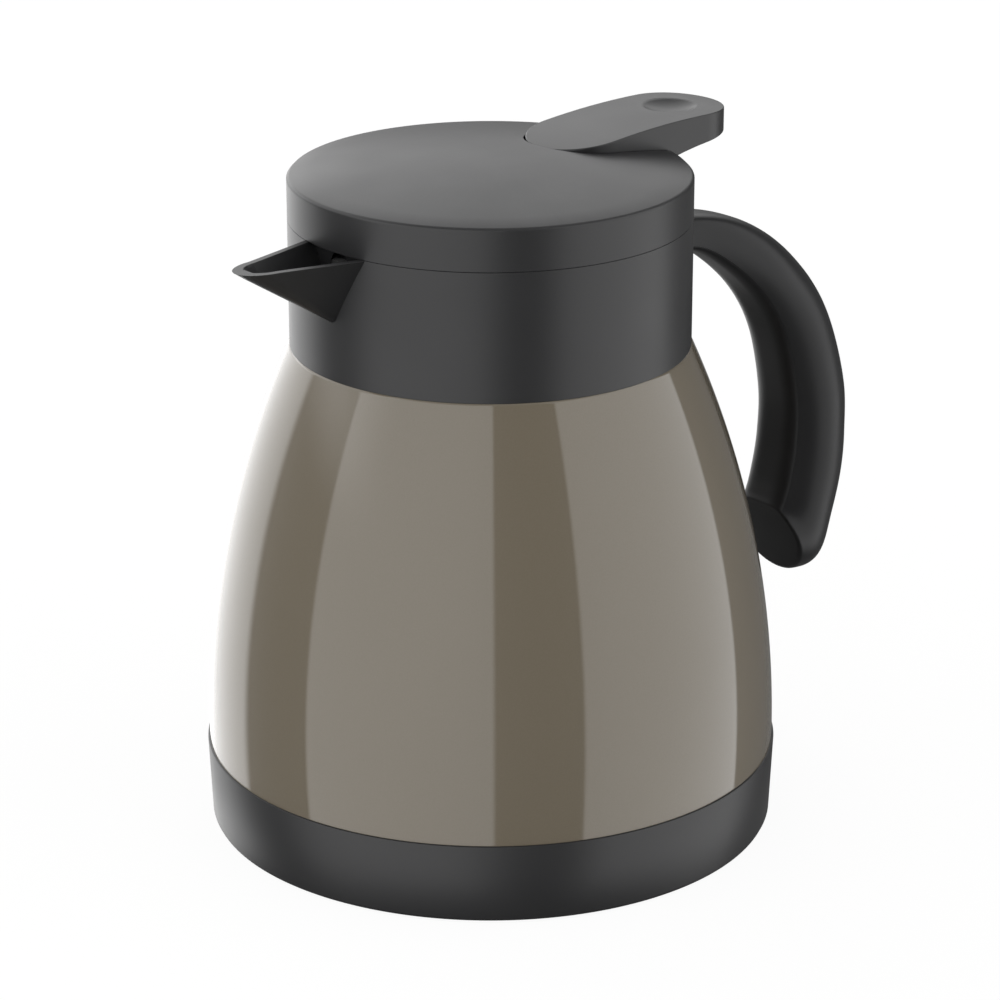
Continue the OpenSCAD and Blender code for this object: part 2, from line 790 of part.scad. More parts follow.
module lid_cap() {
    block_x = lever_front_x - ear_t - eps;
    well_x = stem_cap_r + 2 * arm_gap;
    color(plastic)
    difference() {
        union() {
            difference() {
                lid_solid(0);
                lid_solid(lid_wall);
            }
            intersection() {
                lid_solid(0);
                union() {
                    // Spigot that the stopper is screwed to
                    ring(stopper_r - spigot_t, stopper_r + spigot_step, deck_top_z, dome_top_z);
                    // Trough round the lever
                    translate([block_x, -slot_half_w - ear_t, slot_floor_z - slot_floor_t])
                        cube([collar_r - block_x, 2 * (slot_half_w + ear_t), 2 * skirt_h]);
                    // Bosses of the screws
                    for (a = [90 : 90 : 270])
                        rotate([0, 0, a])
                            translate([screw_circle_r, 0, deck_top_z])
                                cylinder(r = screw_r + post_wall, h = 2 * screw_l, $fn = 48);
                }
            }
            ring(stopper_r - spigot_t, stopper_r + spigot_step, deck_top_z, lid_bottom_z + eps);
            for (a = [90 : 90 : 270])
                rotate([0, 0, a])
                    translate([screw_circle_r, 0, deck_top_z])
                        cylinder(r = screw_r + post_wall, h = deck_sink + eps, $fn = 48);
        }
        // Slot of the lever, open through the rim
        translate([0, 0, slot_floor_z])
            linear_extrude(2 * lever_crest_h)
                lever_plan(slot_gap, lever_front_x, lever_tip_x + collar_r);
        // Well for the lever's arm
        translate([-well_x, -well_w / 2, slot_floor_z - slot_floor_t - eps])
            cube([pin_x + boss_r + arm_gap + well_x, well_w, well_top_z - slot_floor_z + slot_floor_t + eps]);
        translate([0, 0, deck_top_z + guide_h])
            cylinder(r = stem_cap_r + arm_gap, h = dome_top_z - lid_wall - deck_top_z - guide_h);
        // Holes of the pin
        translate([pin_x, pin_half_l + fit_gap, pin_z])
            rotate([90, 0, 0])
                cylinder(r = pin_r + press_gap, h = 2 * (pin_half_l + fit_gap), $fn = 64);
        // Pilot holes of the screws
        for (a = [90 : 90 : 270])
            rotate([0, 0, a])
                translate([screw_circle_r, 0, deck_top_z - eps])
                    cylinder(r = screw_r + press_gap, h = post_depth + eps, $fn = 48);
    }
}

// Side view of the lever's plate in x and z
module lever_side() {
    intersection() {
        translate([lever_crest_x, lever_crest_z - lever_top_arc_r])
            circle(r = lever_top_arc_r, $fn = 720);
        difference() {
            translate([lever_front_x - eps, slot_floor_z])
                square([lever_tip_x - lever_front_x + 2 * eps, lever_crest_h]);
            translate([lever_under_x, lever_under_z - lever_under_arc_r])
                circle(r = lever_under_arc_r, $fn = 720);
            // The underside swings down to the slot's floor
            translate([pin_x, pin_z - boss_r])
                rotate(press_angle)
                    translate([-lever_tip_x, -lever_crest_h])
                        square([2 * lever_tip_x, lever_crest_h]);
        }
    }
}

module lever() {
    dimple_ball_r = (dimple_r * dimple_r + dimple_depth * dimple_depth) / (2 * dimple_depth);
    dimple_x = lever_tip_x - lever_w / 2 - slot_gap;
    color(plastic)
    difference() {
        union() {
            intersection() {
                translate([0, lever_w, 0])
                    rotate([90, 0, 0])
                        linear_extrude(2 * lever_w)
                            lever_side();
                translate([0, 0, slot_floor_z])
                    linear_extrude(2 * lever_crest_h)
                        lever_plan(0, lever_front_x, lever_tip_x);
            }
            // Boss round the pin
            intersection() {
                translate([pin_x, lever_w / 2, pin_z])
                    rotate([90, 0, 0])
                        cylinder(r = boss_r, h = lever_w, $fn = 64);
                linear_extrude(2 * seam_z)
                    lever_plan(0, lever_front_x, lever_tip_x);
            }
            // Arm to the valve's stem with its knuckle
            difference() {
                translate([0, arm_w / 2, 0])
                    rotate([90, 0, 0])
                        linear_extrude(arm_w)
                            union() {
                                translate([0, knuckle_z])
                                    circle(r = knuckle_r, $fn = 48);
                                polygon([[0, knuckle_z - knuckle_r], [pin_x, pin_z - boss_r],
                                    [pin_x, pin_z], [stem_cap_r + fork_gap, knuckle_z + knuckle_r],
                                    [0, knuckle_z + knuckle_r]]);
                            }
                // Fork round the stem
                translate([-stem_cap_r, -stem_r - fork_gap, knuckle_z - stem_cap_r])
                    cube([stem_cap_r + 2 * stem_r, 2 * (stem_r + fork_gap), 2 * stem_cap_r]);
            }
        }
        // Thumb dimple
        translate([dimple_x, 0, lever_crest_z - dimple_depth + dimple_ball_r])
            sphere(r = dimple_ball_r, $fn = 160);
        translate([pin_x, lever_w, pin_z])
            rotate([90, 0, 0])
                cylinder(r = pin_r + run_gap, h = 2 * lever_w, $fn = 64);
    }
}

module lever_pin() {
    color(steel)
    translate([pin_x, pin_half_l, pin_z])
        rotate([90, 0, 0])
            cylinder(r = pin_r, h = 2 * pin_half_l, $fn = 64);
}

module valve_stem() {
    low = valve_z + seal_ring_t + stem_sink + fit_gap;
    color(steel)
    translate([0, 0, low])
        cylinder(r = stem_r, h = stem_top_z - stem_cap_roof - fit_gap - low, $fn = 64);
}

module stem_cap() {
    color(plastic)
    difference() {
        translate([0, 0, stem_cap_z])
            cylinder(r = stem_cap_r, h = stem_top_z - stem_cap_z, $fn = 64);
        translate([0, 0, stem_cap_z - eps])
            cylinder(r = stem_r + press_gap, h = stem_cap_t - stem_cap_roof + eps, $fn = 64);
    }
}

module valve_plug() {
    color(plastic)
    difference() {
        union() {
            translate([0, 0, valve_z + seal_ring_t])
                cylinder(r = valve_r, h = plate_t);
            translate([0, 0, valve_z])
                cylinder(r = valve_hole_r - seal_ring_w - fit_gap, h = seal_ring_t + eps);
            translate([0, 0, valve_z + seal_ring_t])
                cylinder(r = spring_r - spring_wire - fit_gap, h = spring_seat_h);
        }
        translate([0, 0, valve_z + seal_ring_t + stem_sink])
            cylinder(r = stem_r + press_gap, h = 2 * spring_seat_h, $fn = 64);
    }
}

module valve_seal() {
    color(silicone)
    ring(valve_hole_r - seal_ring_w, valve_r + seal_ring_over, valve_z, valve_z + seal_ring_t);
}

// Wire wound along a helix between two heights
module valve_spring() {
    low = valve_z + seal_ring_t + plate_t + spring_wire / 2;
    high = spring_end_z - spring_wire / 2;
    steps = 16;
    rings = spring_turns * steps;
    sides = 6;
    wire = spring_wire / 2;
    points = [for (i = [0 : rings], k = [0 : sides - 1])
        let (a = 360 * i / steps, b = 360 * k / sides, r = spring_r + wire * cos(b))
        [r * cos(a), r * sin(a), low + (high - low) * i / rings + wire * sin(b)]];
    color(steel)
    polyhedron(
        points = points,
        faces = concat(
            [[for (k = [0 : sides - 1]) k]],
            [[for (k = [sides - 1 : -1 : 0]) rings * sides + k]],
            [for (i = [0 : rings - 1], k = [0 : sides - 1])
                [i * sides + k, (i + 1) * sides + k, i * sides + (k + 1) % sides]],
            [for (i = [0 : rings - 1], k = [0 : sides - 1])
                [i * sides + (k + 1) % sides, (i + 1) * sides + k, (i + 1) * sides + (k + 1) % sides]]
        ));
}

outer_shell();
inner_flask();
outer_bottom();
vacuum_seal();
getter();
base_cup();
foot_pad();
neck_gasket();
collar();
handle_shell();
handle_cover();
handle_screws();
stopper_seal();
lid_cap();
lid_seal();
stopper();
stopper_screws();
stem_seal();
valve_spring();
lever();
lever_pin();
valve_stem();
stem_cap();
valve_plug();
valve_seal();
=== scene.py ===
"""Looks of a thermal carafe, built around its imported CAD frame.

Every object is in metres in the row's frame: the origin is the centre of the
underside on the table, +Z is up, the spout points to -X and the handle to +X.
"""

from __future__ import annotations

import json
import logging
import math
from collections.abc import Iterable
from dataclasses import dataclass
from enum import Enum
from typing import Any

import bmesh
import bpy
from mathutils import Matrix, Vector

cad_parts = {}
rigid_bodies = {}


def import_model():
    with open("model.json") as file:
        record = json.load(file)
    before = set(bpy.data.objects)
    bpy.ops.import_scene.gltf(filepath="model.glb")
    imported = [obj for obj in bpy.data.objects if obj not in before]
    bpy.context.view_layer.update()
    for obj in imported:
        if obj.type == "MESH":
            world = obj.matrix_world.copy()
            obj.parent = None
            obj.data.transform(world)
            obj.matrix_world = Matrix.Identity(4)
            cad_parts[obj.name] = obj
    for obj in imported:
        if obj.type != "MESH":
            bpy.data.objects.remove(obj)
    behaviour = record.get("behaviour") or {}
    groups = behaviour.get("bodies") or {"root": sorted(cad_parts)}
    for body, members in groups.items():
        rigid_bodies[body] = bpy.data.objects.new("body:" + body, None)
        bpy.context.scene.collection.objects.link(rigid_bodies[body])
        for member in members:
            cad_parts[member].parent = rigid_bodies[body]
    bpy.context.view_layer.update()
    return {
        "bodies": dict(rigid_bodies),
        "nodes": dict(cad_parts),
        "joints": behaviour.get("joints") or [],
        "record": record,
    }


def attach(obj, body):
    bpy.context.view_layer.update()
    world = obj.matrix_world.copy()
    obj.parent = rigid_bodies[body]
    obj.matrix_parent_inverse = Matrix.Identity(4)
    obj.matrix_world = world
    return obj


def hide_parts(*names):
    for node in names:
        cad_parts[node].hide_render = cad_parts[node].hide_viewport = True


MM = 0.001
LOG = logging.getLogger("carafe")

# Corners of a spun solid that are nearer than this are merged
SPIN_WELD = 0.001 * MM
# The same for the loose triangles of a CAD node
NODE_WELD = 0.002 * MM
# Faces of a CAD node that turn by less than this are one flat face
FLAT_DEG = 0.3
# A face of a moulding with more corners than this is cut into triangles
MOST_CORNERS = 24
# A corner this near to a round wall or a level is on it
NEAR = 0.01 * MM
# A face is upright if its normal rises or falls by less than this
UPRIGHT = 0.02
# Size of the broad patches in which a roughness wanders
DRIFT_MM = 35
# Most values of a noise texture lie between these two
NOISE_LOW = 0.3
NOISE_HIGH = 0.7


class Slot(Enum):
    """Material slots of the record."""

    LACQUER = "lacquer"
    STEEL = "steel"
    SCREW_STEEL = "screw_steel"
    BLACK_PLASTIC = "black_plastic"
    STOPPER_PLASTIC = "stopper_plastic"
    SILICONE = "silicone"
    RUBBER = "rubber"


class Body(Enum):
    """Bodies of the record that pieces of this script ride on."""

    JUG = "jug"
    LID = "lid"
    LEVER = "lever"


def linear(colour: str) -> tuple[float, float, float, float]:
    """Turns an sRGB hex colour into linear values.

    Args:
        colour: Six hex digits after a hash sign.

    Returns:
        Red, green, blue and an alpha of 1.
    """
    shares = [int(colour[i : i + 2], 16) / 255 for i in (1, 3, 5)]
    red, green, blue = (c / 12.92 if c <= 0.04045 else ((c + 0.055) / 1.055) ** 2.4 for c in shares)
    return red, green, blue, 1.0


def add_node(
    tree: bpy.types.NodeTree, kind: str, inputs: dict[str | int, Any] | None = None, **settings: Any
) -> bpy.types.Node:
    """Adds one node with its settings, values and links.

    Args:
        tree: The node tree that gets the node.
        kind: Blender's name for the type of node.
        inputs: Socket name or number to a value, or to the output that feeds it.
        **settings: Properties of the node itself.

    Returns:
        The new node.
    """
    node = tree.nodes.new(kind)
    for name, value in settings.items():
        setattr(node, name, value)
    for name, value in (inputs or {}).items():
        if isinstance(value, bpy.types.NodeSocket):
            tree.links.new(value, node.inputs[name])
        else:
            node.inputs[name].default_value = value
    return node


def per_metre(size_mm: float) -> float:
    """Scale of a texture whose features are size_mm across."""
    return 1 / (size_mm * MM)


@dataclass(frozen=True)
class Finish:
    """A surface made by one process from one material.

    Attributes:
        name: Name of the Blender material.
        colour: Base colour as sRGB hex.
        mottle: Second colour that the base is mixed with in fine patches.
        roughness: Mean roughness.
        spread: How far the roughness wanders to each side.
        grain_mm: Size of the grain in the surface.
        relief_mm: Height of that grain.
        metallic: 0 for a plastic or lacquer, 1 for bare metal.
        ior: Index of refraction.
        shine_level: Strength of its shine, 0.5 for what the index gives.
    """

    name: str
    colour: str
    mottle: str
    roughness: float
    spread: float
    grain_mm: float
    relief_mm: float
    metallic: float = 0.0
    ior: float = 1.5
    shine_level: float = 0.5

    def pattern(self, tree: bpy.types.NodeTree, place: bpy.types.NodeSocket) -> bpy.types.NodeSocket:
        """Grain of the surface as one grey value.

        Args:
            tree: The material's node tree.
            place: Object coordinates.

        Returns:
            The output that holds the grain.
        """
        grain = add_node(
            tree, "ShaderNodeTexNoise", {"Vector": place, "Scale": per_metre(self.grain_mm), "Detail": 3.0}
        )
        return grain.outputs["Fac"]

    def shine(self, shader: bpy.types.Node) -> None:
        """Sets what only some finishes have on the shader's own sockets."""

    def material(self) -> bpy.types.Material:
        """Builds the material.

        Returns:
            A new material with a Principled shader.
        """
        made = bpy.data.materials.new(self.name)
        made.use_nodes = True
        tree = made.node_tree
        tree.nodes.clear()
        place = add_node(tree, "ShaderNodeTexCoord").outputs["Object"]
        grain = self.pattern(tree, place)
        # Broad, slow patches, as a moulding or a coat is never quite even
        drift = add_node(
            tree, "ShaderNodeTexNoise", {"Vector": place, "Scale": per_metre(DRIFT_MM), "Detail": 2.0}
        )
        colour = add_node(
            tree,
            "ShaderNodeMix",
            {"Factor": grain, "A": linear(self.colour), "B": linear(self.mottle)},
            data_type="RGBA",
        )
        rough = add_node(
            tree,
            "ShaderNodeMapRange",
            {
                "Value": drift.outputs["Fac"],
                "From Min": NOISE_LOW,
                "From Max": NOISE_HIGH,
                "To Min": self.roughness - self.spread,
                "To Max": self.roughness + self.spread,
            },
        )
        bump = add_node(
            tree, "ShaderNodeBump", {"Height": grain, "Strength": 1.0, "Distance": self.relief_mm * MM}
        )
        shader = add_node(
            tree,
            "ShaderNodeBsdfPrincipled",
            {
                "Base Color": colour.outputs["Result"],
                "Roughness": rough.outputs["Result"],
                "Normal": bump.outputs["Normal"],
                "Metallic": self.metallic,
                "IOR": self.ior,
                "Specular IOR Level": self.shine_level,
            },
        )
        self.shine(shader)
        add_node(tree, "ShaderNodeOutputMaterial", {"Surface": shader.outputs["BSDF"]})
        return made


@dataclass(frozen=True)
class StovedLacquer(Finish):
    """Sprayed and stoved lacquer with fine metal flakes under a clear coat.

    Attributes:
        coat: Weight of the clear coat.
        coat_roughness: Its roughness.
        coat_ior: Its index of refraction.
    """

    coat: float = 1.0
    coat_roughness: float = 0.03
    coat_ior: float = 1.5

    def shine(self, shader: bpy.types.Node) -> None:
        """Adds the clear coat, which mirrors the studio in sharp panels."""
        shader.inputs["Coat Weight"].default_value = self.coat
        shader.inputs["Coat Roughness"].default_value = self.coat_roughness
        shader.inputs["Coat IOR"].default_value = self.coat_ior


@dataclass(frozen=True)
class SpunSteel(Finish):
    """Stainless steel that was drawn and spun, with fine marks round the axis."""

    def pattern(self, tree: bpy.types.NodeTree, place: bpy.types.NodeSocket) -> bpy.types.NodeSocket:
        """Marks that run round the axis, as the height and radius of a point decide them."""
        parts = add_node(tree, "ShaderNodeSeparateXYZ", {"Vector": place})
        flat = add_node(tree, "ShaderNodeCombineXYZ", {"X": parts.outputs["X"], "Y": parts.outputs["Y"]})
        radius = add_node(tree, "ShaderNodeVectorMath", {0: flat.outputs["Vector"]}, operation="LENGTH")
        track = add_node(
            tree, "ShaderNodeCombineXYZ", {"X": radius.outputs["Value"], "Y": parts.outputs["Z"], "Z": 0.0}
        )
        marks = add_node(
            tree,
            "ShaderNodeTexNoise",
            {"Vector": track.outputs["Vector"], "Scale": per_metre(self.grain_mm), "Detail": 4.0},
        )
        return marks.outputs["Fac"]


@dataclass(frozen=True)
class Elastomer(Finish):
    """Silicone or rubber, which is soft and lets a little light into its edges.

    Attributes:
        scatter: Share of the light that wanders below the surface.
        scatter_mm: How far it wanders.
        scatter_tint: That distance for red, green and blue light, as shares.
        fuzz: Weight of the dusty bloom.
    """

    scatter: float = 0.0
    scatter_mm: float = 1.5
    scatter_tint: tuple[float, float, float] = (1.0, 0.9, 0.8)
    fuzz: float = 0.0

    def shine(self, shader: bpy.types.Node) -> None:
        """Adds light that wanders below the surface, and the bloom of rubber."""
        shader.inputs["Subsurface Weight"].default_value = self.scatter
        shader.inputs["Subsurface Radius"].default_value = self.scatter_tint
        shader.inputs["Subsurface Scale"].default_value = self.scatter_mm * MM
        shader.inputs["Sheen Weight"].default_value = self.fuzz


FINISHES: dict[Slot, Finish] = {
    # Taupe lacquer: an even, flat colour under a hard gloss, flakes only just seen
    Slot.LACQUER: StovedLacquer(
        "stoved_taupe_lacquer",
        colour="#574F3F",
        mottle="#5D5549",
        roughness=0.5,
        spread=0.03,
        grain_mm=0.35,
        relief_mm=0.0004,
        shine_level=0.25,
    ),
    # Bare steel of the flask: bright, with fine rings from spinning
    Slot.STEEL: SpunSteel(
        "spun_stainless_steel",
        colour="#C3C2BF",
        mottle="#B4B3B0",
        roughness=0.28,
        spread=0.05,
        grain_mm=0.4,
        relief_mm=0.002,
        metallic=1.0,
    ),
    # Turned steel of screws and pin: brighter and smoother
    Slot.SCREW_STEEL: Finish(
        "turned_stainless_steel",
        colour="#C9C9C9",
        mottle="#B9B9BA",
        roughness=0.22,
        spread=0.04,
        grain_mm=0.3,
        relief_mm=0.001,
        metallic=1.0,
    ),
    # Black polypropylene from a spark-eroded mould: satin, a soft wide highlight
    Slot.BLACK_PLASTIC: Finish(
        "satin_black_polypropylene",
        colour="#1B1B1C",
        mottle="#212122",
        roughness=0.38,
        spread=0.03,
        grain_mm=0.28,
        relief_mm=0.004,
        ior=1.42,
    ),
    # Black polypropylene from a polished mould, as the inner parts are: a tighter highlight
    Slot.STOPPER_PLASTIC: Finish(
        "smooth_black_polypropylene",
        colour="#1A1A1B",
        mottle="#1E1E1F",
        roughness=0.3,
        spread=0.03,
        grain_mm=0.5,
        relief_mm=0.001,
    ),
    # Food silicone: milky, with a waxy shine
    Slot.SILICONE: Elastomer(
        "milky_silicone",
        colour="#D8D5CD",
        mottle="#D0CDC4",
        roughness=0.45,
        spread=0.04,
        grain_mm=0.4,
        relief_mm=0.002,
        ior=1.41,
        scatter=0.4,
    ),
    # Dark rubber of the foot and the lid's seal: dull, slightly dusty
    Slot.RUBBER: Elastomer(
        "dull_black_rubber",
        colour="#1C1C1C",
        mottle="#232221",
        roughness=0.8,
        spread=0.05,
        grain_mm=0.6,
        relief_mm=0.01,
        ior=1.52,
        fuzz=0.08,
    ),
}

# A darker copy of the black polypropylene with less shine, for the handle only: painted shade, which makes
# the handle look darker than the base band of the same plastic
SHADED_GRIP_FINISH = Finish(
    "shaded_black_grip_polypropylene",
    colour="#181819",
    mottle="#1D1D1E",
    roughness=0.36,
    spread=0.03,
    grain_mm=0.22,
    relief_mm=0.004,
    ior=1.42,
    shine_level=0.25,
)


class Wardrobe:
    """Holds one material for each slot and dresses objects with it."""

    def __init__(self) -> None:
        """Builds every finish once."""
        self.materials = {slot: finish.material() for slot, finish in FINISHES.items()}
        # The handle's darker copy of the black plastic, which paints shade on it
        self.grip = SHADED_GRIP_FINISH.material()

    def dress(self, piece: bpy.types.Object, slot: Slot, look: bpy.types.Material | None = None) -> None:
        """Gives a piece the finish of a slot.

        Args:
            piece: A mesh object.
            slot: The record's slot.
            look: A finish of its own in place of the slot's.
        """
        piece.data.materials.clear()
        piece.data.materials.append(look or self.materials[slot])

    def dress_frame(self, frame: dict[str, Any]) -> None:
        """Gives each CAD node the finish of its own slot.
        """
        slots = {part["node"]: part["material_slot"] for part in frame["record"]["subparts"]}
        for name, node in frame["nodes"].items():
            for place in node.material_slots:
                place.material = self.materials[Slot(slots[name])]
            LOG.info("CAD node %s wears %s", name, slots[name])


@dataclass(frozen=True)
class Rounding:
    """How the edges of a piece are rounded.

    Attributes:
        width_mm: Width of the rounding.
        segments: Facets across it.
        angle_deg: Outward edges that turn by more than this are rounded.
    """

    width_mm: float
    segments: int = 3
    angle_deg: float = 35.0

    def mark(self, bm: bmesh.types.BMesh) -> None:
        """Marks the edges that stand outwards, as a mould's cavity is cut round inside.

        Args:
            bm: A closed mesh with its normals outwards.
        """
        weight = bm.edges.layers.float.new("bevel_weight_edge")
        for edge in bm.edges:
            if edge.is_manifold and edge.is_convex and edge.calc_face_angle() > math.radians(self.angle_deg):
                edge[weight] = 1.0

    def apply(self, piece: bpy.types.Object) -> None:
        """Rounds the marked edges.

        Args:
            piece: A mesh object.
        """
        bevel = piece.modifiers.new("rounded edges", "BEVEL")
        bevel.width = self.width_mm * MM
        bevel.segments = self.segments
        bevel.limit_method = "WEIGHT"
        bevel.use_clamp_overlap = False
        bevel.miter_outer = "MITER_ARC"
        depsgraph = bpy.context.evaluated_depsgraph_get()
        rounded = bpy.data.meshes.new_from_object(piece.evaluated_get(depsgraph))
        piece.modifiers.clear()
        rounded.name = piece.name
        piece.data = rounded


def even_normals(mesh: bpy.types.Mesh, wall_r: float, smooth_deg: float) -> None:
    """Lets flat faces look flat and a round wall look round, whatever facets they were cut into.

    Args:
        mesh: The mesh that gets the normals.
        wall_r: Radius of a round wall about the Z axis, in millimetres, or 0.
        smooth_deg: Faces that turn by less than this share their normals.
    """
    limit = math.cos(math.radians(smooth_deg))
    around: list[list[bpy.types.MeshPolygon]] = [[] for _ in mesh.vertices]
    for face in mesh.polygons:
        for vertex in face.vertices:
            around[vertex].append(face)
    normals = [Vector((0, 0, 1))] * len(mesh.loops)
    for face in mesh.polygons:
        spots = [mesh.vertices[vertex].co for vertex in face.vertices]
        on_wall = wall_r > 0 and abs(face.normal.z) < UPRIGHT
        on_wall = on_wall and all(abs(math.hypot(spot.x, spot.y) - wall_r * MM) < NEAR for spot in spots)
        for corner, vertex in zip(face.loop_indices, face.vertices):
            if on_wall:
                spot = mesh.vertices[vertex].co
                normals[corner] = Vector((spot.x, spot.y, 0)).normalized()
                continue
            total = Vector((0, 0, 0))
            for other in around[vertex]:
                if other.normal.dot(face.normal) > limit:
                    total += other.normal * other.area
            normals[corner] = total.normalized() if total.length > 0 else face.normal.copy()
    mesh.normals_split_custom_set(normals)


def finish_mesh(bm: bmesh.types.BMesh, name: str, sharp_deg: float = 40.0) -> bpy.types.Object:
    """Turns a bmesh into a smooth-shaded object at the origin.

    Args:
        bm: The mesh, which is freed.
        name: Name of the object and its mesh.
        sharp_deg: Edges that turn by more than this stay sharp.

    Returns:
        The new object, linked to the scene.
    """
    mesh = bpy.data.meshes.new(name)
    bm.to_mesh(mesh)
    bm.free()
    mesh.shade_smooth()
    mesh.set_sharp_from_angle(angle=math.radians(sharp_deg))
    piece = bpy.data.objects.new(name, mesh)
    bpy.context.scene.collection.objects.link(piece)
    return piece


def spin_solid(outline: Iterable[tuple[float, float]], name: str, steps: int = 256) -> bpy.types.Object:
    """Spins a closed outline round the Z axis.

    Args:
        outline: Radius and height of its corners, in millimetres, in order.
        name: Name of the object.
        steps: Facets round the axis.

    Returns:
        The closed solid as an object.
    """
    bm = bmesh.new()
    corners = [bm.verts.new((radius * MM, 0, height * MM)) for radius, height in outline]
    edges = [bm.edges.new((a, b)) for a, b in zip(corners, corners[1:] + corners[:1])]
    bmesh.ops.spin(
        bm,
        geom=corners + edges,
        cent=(0, 0, 0),
        axis=(0, 0, 1),
        angle=math.tau,
        steps=steps,
        use_merge=True,
        use_duplicate=False,
    )
    bmesh.ops.remove_doubles(bm, verts=bm.verts, dist=SPIN_WELD)
    bmesh.ops.recalc_face_normals(bm, faces=bm.faces)
    return finish_mesh(bm, name)


@dataclass
class SteelShell:
    """The lacquered outer shell, an arc of a large circle spun round the axis.

    Attributes:
        belly_r: Radius where the side is upright.
        belly_z: Height of that place.
        shoulder_r: Radius at the top of the side.
        shoulder_z: Height of the shoulder.
        foot_z: Height at which the side meets the base band.
        skirt_r: Radius of the skirt inside the band.
        skirt_z: Height of the skirt's lower edge.
        neck_r: Outer radius of the neck.
        neck_z: Height of the neck.
        sheet: Thickness of the steel.
        edge_in: How far the shoulder's edge is broken inwards.
        edge_down: How far it is broken downwards.
        turn: Height of the strip below that edge which takes up the turn of the shading.
        arc_steps: Facets along the side.
    """

    belly_r: float = 69.5
    belly_z: float = 21.0
    shoulder_r: float = 48.1
    shoulder_z: float = 120.5
    foot_z: float = 20.0
    skirt_r: float = 65.8
    skirt_z: float = 6.0
    neck_r: float = 41.4
    neck_z: float = 130.0
    sheet: float = 0.6
    edge_in: float = 0.2
    edge_down: float = 0.3
    turn: float = 0.1
    arc_steps: int = 72

    def side(self, inset: float, low: float, high: float) -> list[tuple[float, float]]:
        """Points of the side's arc, from its foot to its shoulder.

        Args:
            inset: How far the arc is moved inwards.
            low: Lowest height.
            high: Greatest height.

        Returns:
            Radius and height of each point.
        """
        drop = self.belly_r - self.shoulder_r
        rise = self.shoulder_z - self.belly_z
        arc = (rise * rise + drop * drop) / (2 * drop)
        middle = self.belly_r - arc
        heights = [low + (high - low) * k / self.arc_steps for k in range(self.arc_steps + 1)]
        return [(middle + math.sqrt((arc - inset) ** 2 - (z - self.belly_z) ** 2), z) for z in heights]

    def outline(self) -> list[tuple[float, float]]:
        """Closed outline of the sheet, its outside first."""
        inner = self.side(self.sheet, self.foot_z + self.sheet, self.shoulder_z - self.sheet)
        edge_z = self.shoulder_z - self.edge_down
        return [
            (self.skirt_r, self.skirt_z),
            (self.skirt_r, self.foot_z),
            *self.side(0, self.foot_z, edge_z - self.turn),
            self.side(0, edge_z, self.shoulder_z)[0],
            (self.shoulder_r - self.edge_in, self.shoulder_z),
            (self.neck_r, self.shoulder_z),
            (self.neck_r, self.neck_z),
            (self.neck_r - self.sheet, self.neck_z),
            (self.neck_r - self.sheet, self.shoulder_z - self.sheet),
            *reversed(inner),
            (self.skirt_r - self.sheet, self.foot_z + self.sheet),
            (self.skirt_r - self.sheet, self.skirt_z),
        ]

    def build(self, wardrobe: Wardrobe) -> bpy.types.Object:
        """Builds and dresses the shell.

        Args:
            wardrobe: The finishes.

        Returns:
            The shell.
        """
        shell = spin_solid(self.outline(), "lacquered_shell", steps=320)
        wardrobe.dress(shell, Slot.LACQUER)
        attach(shell, Body.JUG.value)
        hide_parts("outer_shell")
        return shell


